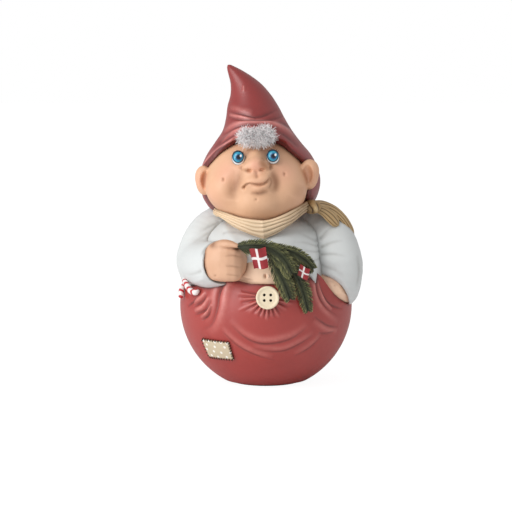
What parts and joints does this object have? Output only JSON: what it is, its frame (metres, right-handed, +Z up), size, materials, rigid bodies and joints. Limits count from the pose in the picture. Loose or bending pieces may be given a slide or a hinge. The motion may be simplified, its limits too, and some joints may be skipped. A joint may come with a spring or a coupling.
{
  "type": "nisse figure",
  "caption": "Round-bottomed nisse figure with a pointed hood, full sleeves, a spruce sprig with small flags in its fist and a hand in its trouser pocket.",
  "frame": {"origin": "centre of the round underside, on the surface that the figure stands on", "axes": "+Z up towards the hood's tip, -Y towards the viewer out of the figure's belly, +X to the viewer's right"},
  "size_m": [0.0913, 0.0959, 0.158],
  "materials": {
    "red_paint": "satin hand-painted resin",
    "skin_paint": "satin hand-painted resin",
    "shirt_paint": "matte hand-painted resin",
    "kerchief_paint": "matte hand-painted resin with brown wash",
    "button_paint": "satin hand-painted resin",
    "patch_paint": "matte hand-painted resin with white dots",
    "eye_paint": "gloss lacquer",
    "tuft_fur": "soft short fur",
    "spruce_paint": "matte dark green with olive tips",
    "twig_paint": "matte brown",
    "flag_paint": "satin red with white cross",
    "cane_paint": "gloss red and white stripes",
    "base_felt_cloth": "pressed felt",
    "plug_rubber": "matte black",
    "ballast_plaster": "rough plaster"
  },
  "bodies": {
    "root": {"trousers_shell": "red_paint", "ballast": "ballast_plaster", "base_plug": "plug_rubber", "base_felt": "base_felt_cloth", "patch": "patch_paint", "button": "button_paint", "torso": "skin_paint", "shirt": "shirt_paint", "right_sleeve": "shirt_paint", "left_sleeve": "shirt_paint", "right_fist": "skin_paint", "left_hand": "skin_paint", "head": "skin_paint", "right_eye": "eye_paint", "left_eye": "eye_paint", "kerchief": "kerchief_paint", "hood": "red_paint", "hair_tuft": "tuft_fur", "kerchief_knot": "kerchief_paint", "kerchief_tail_front": "kerchief_paint", "kerchief_tail_back": "kerchief_paint", "sprig_stem": "twig_paint", "sprig_frond_top": "spruce_paint", "sprig_frond_right": "spruce_paint", "sprig_frond_low_left": "spruce_paint", "sprig_frond_low_right": "spruce_paint", "flag_front": "flag_paint", "flag_side": "flag_paint", "candy_cane_a": "cane_paint", "candy_cane_b": "cane_paint"}
  },
  "joints": []
}
